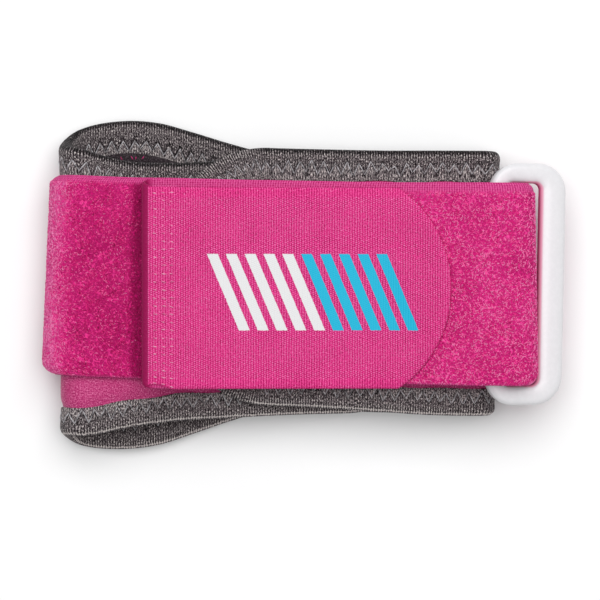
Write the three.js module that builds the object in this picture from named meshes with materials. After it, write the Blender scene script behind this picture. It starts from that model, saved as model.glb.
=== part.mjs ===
// Tennis elbow strap, lying flat and folded into its loop.
// A foam band wraps into a loop whose tongue laps over its other end. Its edge is bound all round.
// A pile strap holds a plastic ring at one end, goes round the band, comes up through the ring,
// runs back over itself and folds. A hook tab is sewn to the fold and points at the ring.
// Millimetres, +Z up. X runs along the folded loop, and Y across it.
import * as THREE from 'three';

const clearance = 0.3; // between pieces that lie against each other

// Foam band, measured along the folded loop from its left fold
const bandThickness = 3;
const bandHalfWidth = 31.8;
const bandFoldedLength = 108.4;
const bandEndRadius = 25;
const underlapLength = 95.6; // from the left fold to the end that lies inside
const tongueLength = 81.2; // from the right fold to the end that lies on top
const leftFoldHeight = 10; // between the middles of the layers
const rightFoldHeight = 7.7;
const padWidening = 8.9; // how far each edge bows out beside the pressure area
const padReach = 46; // along the band, to each side of the pad's middle
const padFromFold = 14.3; // from the left fold, along the underside

// Edge binding
const bindingWidth = 6.5;
const bindingWall = 0.7;
const bindingNose = 1.6; // depth of the rounded edge
const squeezedEdge = 1.6; // thickness of the foam inside the binding

// Pile strap
const strapThickness = 1.5;
const strapWidth = 49.4;
const strapEdgeRound = 0.4;
const leftStandoff = 4.3; // from the strap's outer face to the band's, at the left fold
const rightStandoff = 9.5;
const ringLegLength = 18.2; // the leg that is sewn down under the ring's bar
const rampLength = 28; // over which the strap climbs onto the ring
const foldOverhang = 6.2; // how far the strap's last fold stands past the tongue's tip
const foldHeight = 2.9;
const leafLength = 8.7; // the strap's end, past that fold

// Plastic ring
const ringWidth = 19.6;
const ringBar = 4.5;
const ringThickness = 4;
const ringEdgeRound = 1.2;
const ringOuterCorner = 7.2;
const ringInnerCorner = 2;
const ringSideClearance = 0.5; // at each side of the strap
const ringTilt = THREE.MathUtils.degToRad(14);
const ringBarInset = 0.9; // from the band's right fold to the middle of the held bar

// Hook tab
const tabThickness = 1.4;
const tabLength = 73.4;
const tabOverhang = 1; // past the strap at each side
const tabTipRadius = 29.5;
const tabInset = 1.8; // from the strap's last fold
const tabTipHalfWidth = 3; // of the small flat at the very tip

// Mesh fineness
const arcStep = THREE.MathUtils.degToRad(18);
const bandSpacing = 7;
const strapSpacing = 12;
const endArcSteps = 6;
const noseSteps = 6;

// The edge's bow beside the pad. at is a share of padReach, and value of padWidening.
const padBow = [
  { at: -1, value: 0 },
  { at: -0.75, value: 0.1 },
  { at: -0.5, value: 0.38 },
  { at: -0.34, value: 0.5 },
  { at: -0.21, value: 0.84 },
  { at: 0, value: 1 },
  { at: 0.21, value: 0.91 },
  { at: 0.41, value: 0.6 },
  { at: 0.6, value: 0.28 },
  { at: 0.76, value: 0.06 },
  { at: 0.9, value: 0 },
];

// How far each layer lies to the side, as a share of its width. at is a share of the length.
const bandDrift = [
  { at: 0, value: 0.003 },
  { at: 0.13, value: -0.006 },
  { at: 0.21, value: -0.022 },
  { at: 0.29, value: -0.036 },
  { at: 0.34, value: -0.014 },
  { at: 0.39, value: 0 },
  { at: 0.5, value: 0.012 },
  { at: 0.77, value: 0.008 },
  { at: 0.88, value: 0.026 },
  { at: 1, value: 0.045 },
];
const strapDrift = [
  { at: 0, value: 0.003 },
  { at: 0.08, value: 0.003 },
  { at: 0.31, value: 0.036 },
  { at: 0.38, value: 0.053 },
  { at: 0.66, value: 0.003 },
  { at: 0.76, value: 0.003 },
  { at: 0.96, value: 0.022 },
  { at: 1, value: 0.018 },
];
const tabDrift = [
  { at: 0, value: 0.012 },
  { at: 1, value: 0.004 },
];

// How far out of square each fold lies, as a shift along X for each step across
const bandSkew = [
  { at: 0, value: 0 },
  { at: 0.55, value: 0 },
  { at: 0.72, value: 0.022 },
  { at: 0.84, value: 0 },
  { at: 1, value: 0 },
];
const strapSkew = [
  { at: 0, value: 0 },
  { at: 0.27, value: 0 },
  { at: 0.36, value: 0.045 },
  { at: 0.45, value: 0 },
  { at: 1, value: 0 },
];

// Worked out from the sizes above
const bandMiddle = bandThickness / 2;
const strapMiddle = strapThickness / 2;
const slotHalf = squeezedEdge / 2 + clearance;
const bindingHalf = slotHalf + bindingWall;
const layerPitch = 2 * bindingHalf + clearance;
const strapRise = bindingHalf + clearance + strapMiddle; // strap's middle above the band's
const strapPitch = strapThickness + clearance;
const tabRise = strapMiddle + clearance + tabThickness / 2;
const barReach = Math.hypot(ringBar / 2 - ringEdgeRound, ringThickness / 2 - ringEdgeRound) + ringEdgeRound;
const loopRadius = barReach + 2 * clearance + strapMiddle;
const foldShare = 0.48; // a fold's corner radius, as a share of its height
const tongueTip = bandFoldedLength - tongueLength;

// Heights of the sloping layers, in a working frame with the band's left fold at X = 0
const undersideHeight = strapThickness + clearance + bindingHalf;
const leftMiddle = bandMiddle;
const rightMiddle = bandFoldedLength - bandMiddle;
const slope = (leftFoldHeight + layerPitch - rightFoldHeight) / (rightMiddle - leftMiddle);
const underlapHeight = (x) => undersideHeight + leftFoldHeight - slope * (x - leftMiddle);
const tongueHeight = (x) => underlapHeight(x) + layerPitch;

// A route in the XZ plane: straight runs joined by rounded corners
class Route {
  constructor(corners) {
    this.pieces = [];
    this.length = 0;
    let from = corners[0];
    for (let i = 1; i < corners.length; i++) {
      const corner = corners[i];
      const heading = Math.atan2(corner.z - from.z, corner.x - from.x);
      const run = Math.hypot(corner.x - from.x, corner.z - from.z);
      const next = corners[i + 1];
      if (!next) {
        this.add(from, heading, run, 0);
        break;
      }
      const turned = Math.atan2(next.z - corner.z, next.x - corner.x) - heading;
      const turn = Math.atan2(Math.sin(turned), Math.cos(turned));
      const tangent = corner.radius * Math.tan(Math.abs(turn) / 2);
      this.add(from, heading, run - tangent, 0);
      this.add(this.at(this.length), heading, corner.radius * Math.abs(turn), turn);
      from = this.at(this.length);
    }
  }

  add(point, heading, length, turn) {
    this.pieces.push({ start: this.length, x: point.x, z: point.z, heading, length, turn });
    this.length += length;
  }

  // The point and heading at a length s along the route
  at(s) {
    const piece = this.pieces.findLast((p) => s >= p.start) ?? this.pieces[0];
    const along = s - piece.start;
    if (piece.turn === 0) {
      const x = piece.x + along * Math.cos(piece.heading);
      return { x, z: piece.z + along * Math.sin(piece.heading), heading: piece.heading };
    }
    const signedRadius = piece.length / piece.turn;
    const heading = piece.heading + along / signedRadius;
    const x = piece.x + signedRadius * (Math.sin(heading) - Math.sin(piece.heading));
    const z = piece.z - signedRadius * (Math.cos(heading) - Math.cos(piece.heading));
    return { x, z, heading };
  }

  // Lengths at which sections are taken: close in the corners, and spacing apart on the runs
  stations(spacing) {
    const lengths = this.pieces.flatMap((piece) => {
      const steps = Math.max(1, Math.ceil(piece.length / spacing), Math.ceil(Math.abs(piece.turn) / arcStep));
      return Array.from({ length: steps }, (_, i) => piece.start + (piece.length * i) / steps);
    });
    return [...lengths, this.length];
  }
}

// A smooth curve through a table's rows, level beyond its ends
function curveThrough(table) {
  const curve = new THREE.CubicInterpolant(table.map((row) => row.at), table.map((row) => row.value), 1);
  return (at) => curve.evaluate(THREE.MathUtils.clamp(at, table[0].at, table.at(-1).at))[0];
}

// Bends a flat strip along a route: s along it, t across it, n out of its outer face
function bend(route, drift, width, skew = []) {
  const driftAt = curveThrough(drift);
  const skewAt = skew.length ? curveThrough(skew) : () => 0;
  return (s, t, n) => {
    const share = s / route.length;
    const point = route.at(s);
    const x = point.x + n * Math.sin(point.heading) + t * skewAt(share);
    return new THREE.Vector3(x, t + width * driftAt(share), point.z - n * Math.cos(point.heading));
  };
}

// Skins a row of closed sections with equal point counts. An open row is capped by its flat outlines.
function skin(sections, caps) {
  const around = sections[0].length;
  const rows = caps ? sections.length - 1 : sections.length;
  const triangles = [];
  for (let i = 0; i < rows; i++) {
    for (let j = 0; j < around; j++) {
      const a = i * around + j;
      const b = i * around + ((j + 1) % around);
      const c = ((i + 1) % sections.length) * around + j;
      const d = ((i + 1) % sections.length) * around + ((j + 1) % around);
      triangles.push([a, c, b], [b, c, d]);
    }
  }
  if (caps) {
    const last = (sections.length - 1) * around;
    THREE.ShapeUtils.triangulateShape(caps.first, []).forEach(([a, b, c]) => triangles.push([a, b, c]));
    THREE.ShapeUtils.triangulateShape(caps.last, []).forEach(([a, b, c]) => {
      triangles.push([c + last, b + last, a + last]);
    });
  }
  const points = sections.flat();
  const volume = triangles.reduce((sum, [a, b, c]) => {
    return sum + points[a].dot(new THREE.Vector3().crossVectors(points[b], points[c]));
  }, 0);
  const outward = volume > 0 ? triangles : triangles.map(([a, b, c]) => [a, c, b]);
  const geometry = new THREE.BufferGeometry().setFromPoints(points);
  geometry.setIndex(outward.flat());
  geometry.computeVertexNormals();
  return geometry;
}

// A strip along a route. outlineAt(s) gives its cross-section there, as points across and out.
function strip(route, place, lengths, outlineAt) {
  const sections = lengths.map((s) => outlineAt(s).map((p) => place(s, p.x, p.y)));
  return skin(sections, { first: outlineAt(lengths[0]), last: outlineAt(lengths.at(-1)) });
}

// Cross-section of webbing with its edges eased
function webbingOutline(halfWidth, thickness) {
  const half = thickness / 2;
  const eased = Math.min(strapEdgeRound, half);
  return [
    [halfWidth, half - eased],
    [halfWidth - eased, half],
    [-halfWidth + eased, half],
    [-halfWidth, half - eased],
    [-halfWidth, -half + eased],
    [-halfWidth + eased, -half],
    [halfWidth - eased, -half],
    [halfWidth, -half + eased],
  ].map(([t, n]) => new THREE.Vector2(t, n));
}

// Foam band and its binding share one route and one flat outline
const bandRoute = new Route([
  { x: underlapLength, z: underlapHeight(underlapLength) },
  { x: leftMiddle, z: underlapHeight(leftMiddle), radius: foldShare * leftFoldHeight },
  { x: leftMiddle, z: undersideHeight, radius: foldShare * leftFoldHeight },
  { x: rightMiddle, z: undersideHeight, radius: foldShare * rightFoldHeight },
  { x: rightMiddle, z: tongueHeight(rightMiddle), radius: foldShare * rightFoldHeight },
  { x: tongueTip, z: tongueHeight(tongueTip) },
]);
const placeOnBand = bend(bandRoute, bandDrift, 2 * bandHalfWidth, bandSkew);
const underside = bandRoute.pieces[4]; // the straight run after the left fold's two corners
const padCentre = underside.start + padFromFold - underside.x;

// The band's half width beside a length s, drawn in from its edge
const bowAt = curveThrough(padBow);
function bandHalfWidthAt(s, inset) {
  const fromEnd = Math.min(s, bandRoute.length - s);
  if (fromEnd < bandEndRadius) {
    const radius = bandEndRadius - inset;
    const across = Math.max(0, radius ** 2 - (bandEndRadius - fromEnd) ** 2);
    return bandHalfWidth - bandEndRadius + Math.sqrt(across);
  }
  return bandHalfWidth + padWidening * bowAt((s - padCentre) / padReach) - inset * bandSlantAt(s);
}

// How much longer a step straight across the band is than the same step at right angles to its edge
function bandSlantAt(s) {
  const step = 0.01;
  const rise = bowAt((s + step - padCentre) / padReach) - bowAt((s - step - padCentre) / padReach);
  return Math.hypot(1, (padWidening * rise) / (2 * step));
}

// The foam is thinner where the binding squeezes it
function bandOutline(s) {
  const edge = bindingNose - bindingWall / 2 + clearance;
  const rimInset = bindingWidth + clearance;
  const shoulderInset = rimInset + (bandThickness - squeezedEdge) / 2;
  const fromEnd = Math.min(s, bandRoute.length - s);
  const half = fromEnd < shoulderInset ? squeezedEdge / 2 : bandThickness / 2;
  const [outer, rim, shoulder] = [edge, rimInset, shoulderInset].map((inset) => bandHalfWidthAt(s, inset));
  const side = [
    [outer, squeezedEdge / 2],
    [Math.min(rim, 0.9 * outer), squeezedEdge / 2],
    [Math.min(shoulder, 0.8 * outer), half],
  ];
  const top = [...side, ...side.map(([t, n]) => [-t, n]).reverse()];
  const bottom = top.map(([t, n]) => [t, -n]).reverse();
  return [...top, ...bottom].map(([t, n]) => new THREE.Vector2(t, n));
}

function bandGeometry() {
  const edge = bindingNose - bindingWall / 2 + clearance;
  const shoulderInset = bindingWidth + clearance + (bandThickness - squeezedEdge) / 2;
  const nearEnd = [0, 0.06, 0.2, 0.45, 0.75].map((share) => edge + share * (shoulderInset - edge));
  const arcs = [0.4, 0.55, 0.75, 0.9].map((share) => share * bandEndRadius);
  const start = [...nearEnd, shoulderInset - 0.01, shoulderInset, ...arcs];
  const middle = bandRoute.stations(bandSpacing);
  const plain = middle.filter((s) => s > bandEndRadius && s < bandRoute.length - bandEndRadius);
  const ending = start.map((s) => bandRoute.length - s).reverse();
  return strip(bandRoute, placeOnBand, [...start, ...plain, ...ending], bandOutline);
}

// The band's flat outline, once round. A step out of its edge is outS along it and outT across.
// On a slanting side the step goes straight across and is longer, so the width at right angles stays.
function bandEdge() {
  const length = bandRoute.length;
  const stations = bandRoute.stations(bandSpacing);
  const plain = stations.filter((s) => s > bandEndRadius + 1 && s < length - bandEndRadius - 1);
  const side = (sign) => plain.map((s) => {
    return { s, t: sign * bandHalfWidthAt(s, 0), outS: 0, outT: sign * bandSlantAt(s) };
  });
  const corner = (s, t, from) => Array.from({ length: endArcSteps + 1 }, (_, i) => {
    const angle = from - ((Math.PI / 2) * i) / endArcSteps;
    const [outS, outT] = [Math.cos(angle), Math.sin(angle)];
    return { s: s + bandEndRadius * outS, t: t + bandEndRadius * outT, outS, outT };
  });
  const inner = bandHalfWidth - bandEndRadius;
  return [
    ...side(1),
    ...corner(length - bandEndRadius, inner, Math.PI / 2),
    ...corner(length - bandEndRadius, -inner, 0),
    ...side(-1).reverse(),
    ...corner(bandEndRadius, -inner, -Math.PI / 2),
    ...corner(bandEndRadius, inner, -Math.PI),
  ];
}

// The binding's section is a U with a rounded nose: out is 0 at the edge and negative inwards
function bindingGeometry() {
  const nose = Array.from({ length: noseSteps + 1 }, (_, i) => {
    const angle = Math.PI / 2 - (Math.PI * i) / noseSteps;
    return [bindingNose * (Math.cos(angle) - 1), bindingHalf * Math.sin(angle)];
  });
  const floor = -bindingNose + bindingWall / 2;
  const outline = [
    [-bindingWidth, bindingHalf],
    ...nose,
    [-bindingWidth, -bindingHalf],
    [-bindingWidth, -slotHalf],
    [floor, -slotHalf],
    [floor, slotHalf],
    [-bindingWidth, slotHalf],
  ];
  const sections = bandEdge().map(({ s, t, outS, outT }) => {
    return outline.map(([out, n]) => placeOnBand(s + outS * out, t + outT * out, n));
  });
  return skin(sections);
}

// Pile strap: from the leg under the ring's bar to the leaf that carries the tab
const barX = bandFoldedLength - ringBarInset;
const legHeight = (x) => tongueHeight(x) + strapRise;
const barHeight = legHeight(barX) + loopRadius;
const legEnd = barX - ringLegLength;
const crest = { x: barX - loopRadius, z: barHeight + loopRadius };
const rampFoot = { x: barX - rampLength, z: legHeight(barX - rampLength) };
const strapLeft = strapMiddle - leftStandoff;
const strapRight = bandFoldedLength + rightStandoff - strapMiddle;
const outerLegHeight = (x) => underlapHeight(x) + strapRise;
const topHeight = (x) => {
  const share = THREE.MathUtils.clamp((x - rampFoot.x) / (crest.x - rampFoot.x), 0, 1);
  const onTongue = legHeight(Math.min(x, rampFoot.x));
  return strapPitch + (x > rampFoot.x ? THREE.MathUtils.lerp(rampFoot.z, crest.z, share) : onTongue);
};
const foldX = tongueTip - foldOverhang + strapMiddle;
const leafEnd = foldX - strapMiddle + leafLength;
const leafHeight = (x) => {
  const share = (x - foldX) / (leafEnd - foldX);
  return topHeight(x) + THREE.MathUtils.lerp(foldHeight, strapPitch + clearance, share);
};

function strapRoute() {
  const stepDown = 3 * bindingHalf;
  const leftRadius = foldShare * (outerLegHeight(strapLeft) - strapMiddle);
  const easy = 4 * strapThickness; // bend radius where the strap only changes its slope
  return new Route([
    { x: legEnd, z: legHeight(legEnd) },
    { x: barX + loopRadius, z: legHeight(barX + loopRadius), radius: 2 * foldShare * loopRadius },
    { x: barX + loopRadius, z: crest.z, radius: 2 * foldShare * loopRadius },
    { ...crest, radius: easy },
    { ...rampFoot, radius: 2 * easy },
    { x: tongueTip + clearance, z: legHeight(tongueTip), radius: easy },
    { x: tongueTip - 1.7 * stepDown, z: outerLegHeight(tongueTip - 1.7 * stepDown), radius: easy },
    { x: strapLeft, z: outerLegHeight(strapLeft), radius: leftRadius },
    { x: strapLeft, z: strapMiddle, radius: leftRadius },
    { x: strapRight, z: strapMiddle, radius: 0.3 * topHeight(crest.x) },
    { x: strapRight, z: crest.z + strapPitch, radius: 0.2 * topHeight(crest.x) },
    { x: crest.x, z: crest.z + strapPitch, radius: easy },
    { x: rampFoot.x, z: rampFoot.z + strapPitch, radius: 2 * easy },
    { x: foldX, z: topHeight(foldX), radius: foldShare * foldHeight },
    { x: foldX, z: leafHeight(foldX), radius: foldShare * foldHeight },
    { x: leafEnd, z: leafHeight(leafEnd) },
  ]);
}

function strapGeometry() {
  const route = strapRoute();
  const place = bend(route, strapDrift, strapWidth, strapSkew);
  const outline = () => webbingOutline(strapWidth / 2, strapThickness);
  return strip(route, place, route.stations(strapSpacing), outline);
}

// Plastic ring: a rounded rectangle with a rounded opening, tilted down away from its held bar
function roundedRectangle(target, halfX, halfY, radius) {
  target.moveTo(halfX, -halfY + radius);
  target.lineTo(halfX, halfY - radius);
  target.absarc(halfX - radius, halfY - radius, radius, 0, Math.PI / 2);
  target.lineTo(-halfX + radius, halfY);
  target.absarc(-halfX + radius, halfY - radius, radius, Math.PI / 2, Math.PI);
  target.lineTo(-halfX, -halfY + radius);
  target.absarc(-halfX + radius, -halfY + radius, radius, Math.PI, 1.5 * Math.PI);
  target.lineTo(halfX - radius, -halfY);
  target.absarc(halfX - radius, -halfY + radius, radius, 1.5 * Math.PI, 2 * Math.PI);
  return target;
}

function ringGeometry() {
  const innerHalfLength = strapWidth / 2 + ringSideClearance;
  const outer = roundedRectangle(new THREE.Shape(), ringWidth / 2, innerHalfLength + ringBar, ringOuterCorner);
  const opening = roundedRectangle(new THREE.Path(), ringWidth / 2 - ringBar, innerHalfLength, ringInnerCorner);
  outer.holes.push(opening);
  const depth = ringThickness - 2 * ringEdgeRound;
  const geometry = new THREE.ExtrudeGeometry(outer, {
    depth,
    curveSegments: 5,
    bevelThickness: ringEdgeRound,
    bevelSize: ringEdgeRound,
    bevelOffset: -ringEdgeRound,
    bevelSegments: 3,
  });
  return geometry.translate(0, 0, -depth / 2);
}

// Hook tab: starts on the leaf, steps down onto the strap and ends in a round tip
const tabStart = foldX - strapMiddle + tabInset;
const tabTip = tabStart + tabLength;
function tabRoute() {
  const landing = leafEnd + 2 * (foldHeight + strapThickness);
  const easy = 3 * tabThickness;
  return new Route([
    { x: tabStart, z: leafHeight(foldX) + tabRise },
    { x: leafEnd, z: leafHeight(leafEnd) + tabRise, radius: easy },
    { x: landing, z: topHeight(landing) + tabRise, radius: easy },
    { x: rampFoot.x, z: topHeight(rampFoot.x) + tabRise, radius: 8 * easy },
    { x: tabTip, z: topHeight(tabTip) + tabRise },
  ]);
}

function tabGeometry() {
  const route = tabRoute();
  const halfWidth = strapWidth / 2 + tabOverhang;
  const tipCentre = route.length - tabTipRadius;
  const halfWidthAt = (s) => {
    if (s < tipCentre) return halfWidth;
    const onArc = Math.sqrt(Math.max(0, tabTipRadius ** 2 - (s - tipCentre) ** 2));
    return THREE.MathUtils.clamp(onArc, tabTipHalfWidth, halfWidth);
  };
  const place = bend(route, tabDrift, 2 * halfWidth);
  const cornerAngle = Math.asin(Math.min(1, halfWidth / tabTipRadius));
  const tip = [1, 0.85, 0.7, 0.55, 0.4, 0.25, 0.1].map((share) => {
    return tipCentre + tabTipRadius * Math.cos(share * cornerAngle);
  });
  const plain = route.stations(strapSpacing).filter((s) => s < tip[0]);
  const outline = (s) => webbingOutline(halfWidthAt(s), tabThickness);
  return strip(route, place, [...plain, ...tip], outline);
}

// Colours and finishes
const pilePink = new THREE.MeshStandardMaterial({ color: 0xc43a78, roughness: 0.95 });
const laminatePink = new THREE.MeshStandardMaterial({ color: 0xc4497f, roughness: 0.9 });
const wovenPink = new THREE.MeshStandardMaterial({ color: 0xd64488, roughness: 0.85 });
const bindingGrey = new THREE.MeshStandardMaterial({ color: 0x5c5858, roughness: 0.9 });
const ringWhite = new THREE.MeshStandardMaterial({ color: 0xf2f1f3, roughness: 0.35 });

function piece(name, geometry, material) {
  const mesh = new THREE.Mesh(geometry, material);
  mesh.name = name;
  return mesh;
}

const ring = piece('plastic_ring', ringGeometry(), ringWhite);
const ringReach = (ringWidth - ringBar) / 2;
ring.rotation.y = ringTilt;
ring.position.x = barX + ringReach * Math.cos(ringTilt);
ring.position.y = strapDrift[0].value * strapWidth;
ring.position.z = barHeight - ringReach * Math.sin(ringTilt);

const elbowStrap = new THREE.Group();
elbowStrap.add(
  piece('neoprene_band', bandGeometry(), laminatePink),
  piece('edge_binding', bindingGeometry(), bindingGrey),
  piece('pile_strap', strapGeometry(), pilePink),
  ring,
  piece('hook_tab', tabGeometry(), wovenPink),
);

// The origin is under the middle of the whole, on the surface that it lies on
const bounds = new THREE.Box3().setFromObject(elbowStrap, true);
const middle = bounds.getCenter(new THREE.Vector3());
elbowStrap.position.set(-middle.x, -middle.y, -bounds.min.z);

export default elbowStrap;
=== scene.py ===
# %% [markdown]
# # A tennis elbow strap, folded flat
# The real thing is a foam band with a bound edge, wrapped into a loop. A pile strap holds a
# plastic ring, goes round the band, comes back up through the ring and closes on itself with a
# hook tab. All of it is cloth but the ring, so nearly every shape here is a strip that bends along
# a route. This notebook works out those routes once, and lays every piece along them.

import bpy
import numpy as np
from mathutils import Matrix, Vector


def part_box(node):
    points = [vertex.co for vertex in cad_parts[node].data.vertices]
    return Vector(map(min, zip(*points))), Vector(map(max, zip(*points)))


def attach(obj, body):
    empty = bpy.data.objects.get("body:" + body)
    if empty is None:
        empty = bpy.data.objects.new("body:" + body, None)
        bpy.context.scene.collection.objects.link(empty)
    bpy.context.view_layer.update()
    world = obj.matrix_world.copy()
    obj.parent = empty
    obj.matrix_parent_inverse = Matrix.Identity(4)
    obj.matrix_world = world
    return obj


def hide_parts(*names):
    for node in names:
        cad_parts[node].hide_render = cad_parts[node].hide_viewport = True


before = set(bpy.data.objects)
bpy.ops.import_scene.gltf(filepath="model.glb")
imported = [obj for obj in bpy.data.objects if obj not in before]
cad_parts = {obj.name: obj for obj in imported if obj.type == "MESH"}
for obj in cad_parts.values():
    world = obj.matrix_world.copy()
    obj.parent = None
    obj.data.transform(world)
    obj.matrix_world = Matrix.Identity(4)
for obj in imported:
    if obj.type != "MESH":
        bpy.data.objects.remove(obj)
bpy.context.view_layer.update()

# %% [markdown]
# ## Camera
# The photograph is taken from straight above. A long lens at 65 cm keeps the layers nearly
# free of perspective, as a product photographer would. Blender's camera looks down its own Z
# axis, so it needs no turn at all.

# %% Camera
lens = bpy.data.cameras.new("camera")
lens.lens = 154.7
lens.sensor_width = 36
lens.clip_start = 0.05
camera = bpy.data.objects.new("camera", lens)
camera.location = (-0.0002, -0.0037, 0.65)
bpy.context.scene.collection.objects.link(camera)
bpy.context.scene.camera = camera

# %% [markdown]
# ## Sizes
# These are the sizes of the solid model, in millimetres. The looks have to sit on the same
# routes, so they use the same numbers.

# %% Sizes in millimetres
GAP = 0.3
BAND_THICK, BAND_HALF, BAND_LONG = 3.0, 31.8, 108.4
END_RADIUS, UNDERLAP, TONGUE = 25.0, 95.6, 81.2
LEFT_FOLD, RIGHT_FOLD = 10.0, 7.7
PAD_WIDER, PAD_REACH, PAD_FROM_FOLD = 8.9, 46.0, 14.3
BINDING_HALF = 1.8
STRAP_THICK, STRAP_WIDE = 1.5, 49.4
LEFT_STANDOFF, RIGHT_STANDOFF = 4.3, 9.5
RING_LEG, RAMP, FOLD_OVERHANG, FOLD_HIGH, LEAF = 18.2, 28.0, 6.2, 2.9, 8.7
RING_WIDE, RING_BAR, RING_THICK, RING_ROUND = 19.6, 4.5, 4.0, 1.2
RING_OUTER, RING_SIDE = 7.2, 0.5
RING_TILT, RING_INSET, RING_TURN = np.radians(14), 0.9, np.radians(1.2)
TAB_THICK, TAB_LONG, TAB_OVER, TAB_TIP, TAB_INSET = 1.4, 73.4, -0.1, 29.5, 1.8
FOLD_SHARE = 0.48
FAR_FACE = 100  # where the other face's part of a UV map starts

band_mid, strap_mid = BAND_THICK / 2, STRAP_THICK / 2
pitch = 2 * BINDING_HALF + GAP
strap_rise = BINDING_HALF + GAP + strap_mid
strap_pitch = STRAP_THICK + GAP
tab_rise = strap_mid + GAP + TAB_THICK / 2
bar_reach = np.hypot(RING_BAR / 2 - RING_ROUND, RING_THICK / 2 - RING_ROUND) + RING_ROUND
loop_radius = bar_reach + 2 * GAP + strap_mid
tongue_tip = BAND_LONG - TONGUE

# %% [markdown]
# ## Routes
# A route is what a strip follows when it is seen from the side: straight runs joined by round
# corners. Blender curves could do this, but a small class keeps the exact length along the strip,
# and length is what stitches, ribs and weave are spaced by.


# %% Routes
class Route:
    """Straight runs and arcs in the XZ plane. On an arc of curvature k, the heading grows by k
    for each millimetre, and the place follows from the sine and cosine of the heading."""

    def __init__(self, corners):
        self.rows = []
        self.length = 0.0
        here = np.array(corners[0][:2], float)
        for i in range(1, len(corners)):
            corner = np.array(corners[i][:2], float)
            run, way = np.linalg.norm(corner - here), np.arctan2(*(corner - here)[::-1])
            if i == len(corners) - 1:
                self.add(here, way, run, 0)
                break
            after = np.array(corners[i + 1][:2], float) - corner
            turn = (np.arctan2(after[1], after[0]) - way + np.pi) % (2 * np.pi) - np.pi
            radius = corners[i][2]
            cut = radius * np.tan(abs(turn) / 2)
            self.add(here, way, run - cut, 0)
            self.add(self.end(), way, radius * abs(turn), np.sign(turn) / radius)
            here = self.end()

    def add(self, place, way, run, curve):
        self.rows.append((self.length, place[0], place[1], way, curve, run))
        self.length += run

    def end(self):
        x, z, _ = self.at(np.array([self.length]))
        return np.array([x[0], z[0]])

    def at(self, s):
        """X, Z and heading at each length s."""
        rows = np.array(self.rows)
        row = rows[np.clip(np.searchsorted(rows[:, 0], s, side="right") - 1, 0, len(rows) - 1)]
        start, x, z, way, curve = (row[..., i] for i in range(5))
        along = s - start
        turned = way + curve * along
        safe = np.where(curve == 0, 1, curve)
        dx = np.where(curve == 0, along * np.cos(way), (np.sin(turned) - np.sin(way)) / safe)
        dz = np.where(curve == 0, along * np.sin(way), (np.cos(way) - np.cos(turned)) / safe)
        return x + dx, z + dz, turned

    def stations(self, step, angle=np.radians(6)):
        """Lengths from end to end, step apart on the runs and closer in the corners."""
        cuts = []
        for start, _, _, _, curve, run in self.rows:
            count = int(max(1, np.ceil(run / step), np.ceil(abs(curve) * run / angle)))
            cuts.append(start + run * np.arange(count) / count)
        return np.concatenate([*cuts, [self.length]])


def through(table, at):
    """A smooth curve through (at, value) rows: between two rows it is a cubic whose slope at each
    row is the mean of the slopes on its two sides."""
    x, y = np.array(table, float).T
    slope = np.diff(y) / np.diff(x)
    lean = np.concatenate([slope[:1], (slope[:-1] + slope[1:]) / 2, slope[-1:]])
    at = np.clip(at, x[0], x[-1])
    i = np.clip(np.searchsorted(x, at, side="right") - 1, 0, len(x) - 2)
    wide = x[i + 1] - x[i]
    p = (at - x[i]) / wide
    start = y[i] * (1 + 2 * p) * (1 - p) ** 2 + lean[i] * wide * p * (1 - p) ** 2
    return start + y[i + 1] * p**2 * (3 - 2 * p) - lean[i + 1] * wide * p**2 * (1 - p)


def ease(x, low, high):
    """0 below low, 1 above high, and the smooth step 3p2 - 2p3 between."""
    p = np.clip((x - low) / (high - low), 0, 1)
    return p * p * (3 - 2 * p)


# %% [markdown]
# The band makes one turn: underlap, left fold, back, right fold, tongue. The layers lean a little,
# because the loop is fatter at its left fold. The two tables say how far each layer has slipped
# to the side and how far each fold lies out of square.

# %% Route of the foam band
right_mid = BAND_LONG - band_mid
back_height = STRAP_THICK + GAP + BINDING_HALF
lean = (LEFT_FOLD + pitch - RIGHT_FOLD) / (right_mid - band_mid)


def underlap_height(x):
    return back_height + LEFT_FOLD - lean * (x - band_mid)


def tongue_height(x):
    return underlap_height(x) + pitch


band_route = Route([
    (UNDERLAP, underlap_height(UNDERLAP)),
    (band_mid, underlap_height(band_mid), FOLD_SHARE * LEFT_FOLD),
    (band_mid, back_height, FOLD_SHARE * LEFT_FOLD),
    (right_mid, back_height, FOLD_SHARE * RIGHT_FOLD),
    (right_mid, tongue_height(right_mid), FOLD_SHARE * RIGHT_FOLD),
    (tongue_tip, tongue_height(tongue_tip)),
])
pad_middle = band_route.rows[4][0] + PAD_FROM_FOLD - band_route.rows[4][1]
PAD_BOW = [(-1, 0), (-0.75, 0.1), (-0.5, 0.38), (-0.34, 0.5), (-0.21, 0.84), (0, 1),
           (0.21, 0.91), (0.41, 0.6), (0.6, 0.28), (0.76, 0.06), (0.9, 0)]
BAND_DRIFT = [(0, 0.003), (0.13, -0.006), (0.21, -0.022), (0.29, -0.036), (0.34, -0.014),
              (0.39, 0), (0.5, 0.012), (0.77, 0.008), (0.88, 0.026), (1, 0.045)]
BAND_SKEW = [(0, 0), (0.55, 0), (0.72, 0.022), (0.84, 0), (1, 0)]
print("band length:", round(band_route.length, 1), "mm")

# %% [markdown]
# The strap's route starts under the ring's bar and ends in the small leaf that carries the tab.

# %% Route of the pile strap and of the tab
bar_x = BAND_LONG - RING_INSET


def leg_height(x):
    return tongue_height(x) + strap_rise


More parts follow.
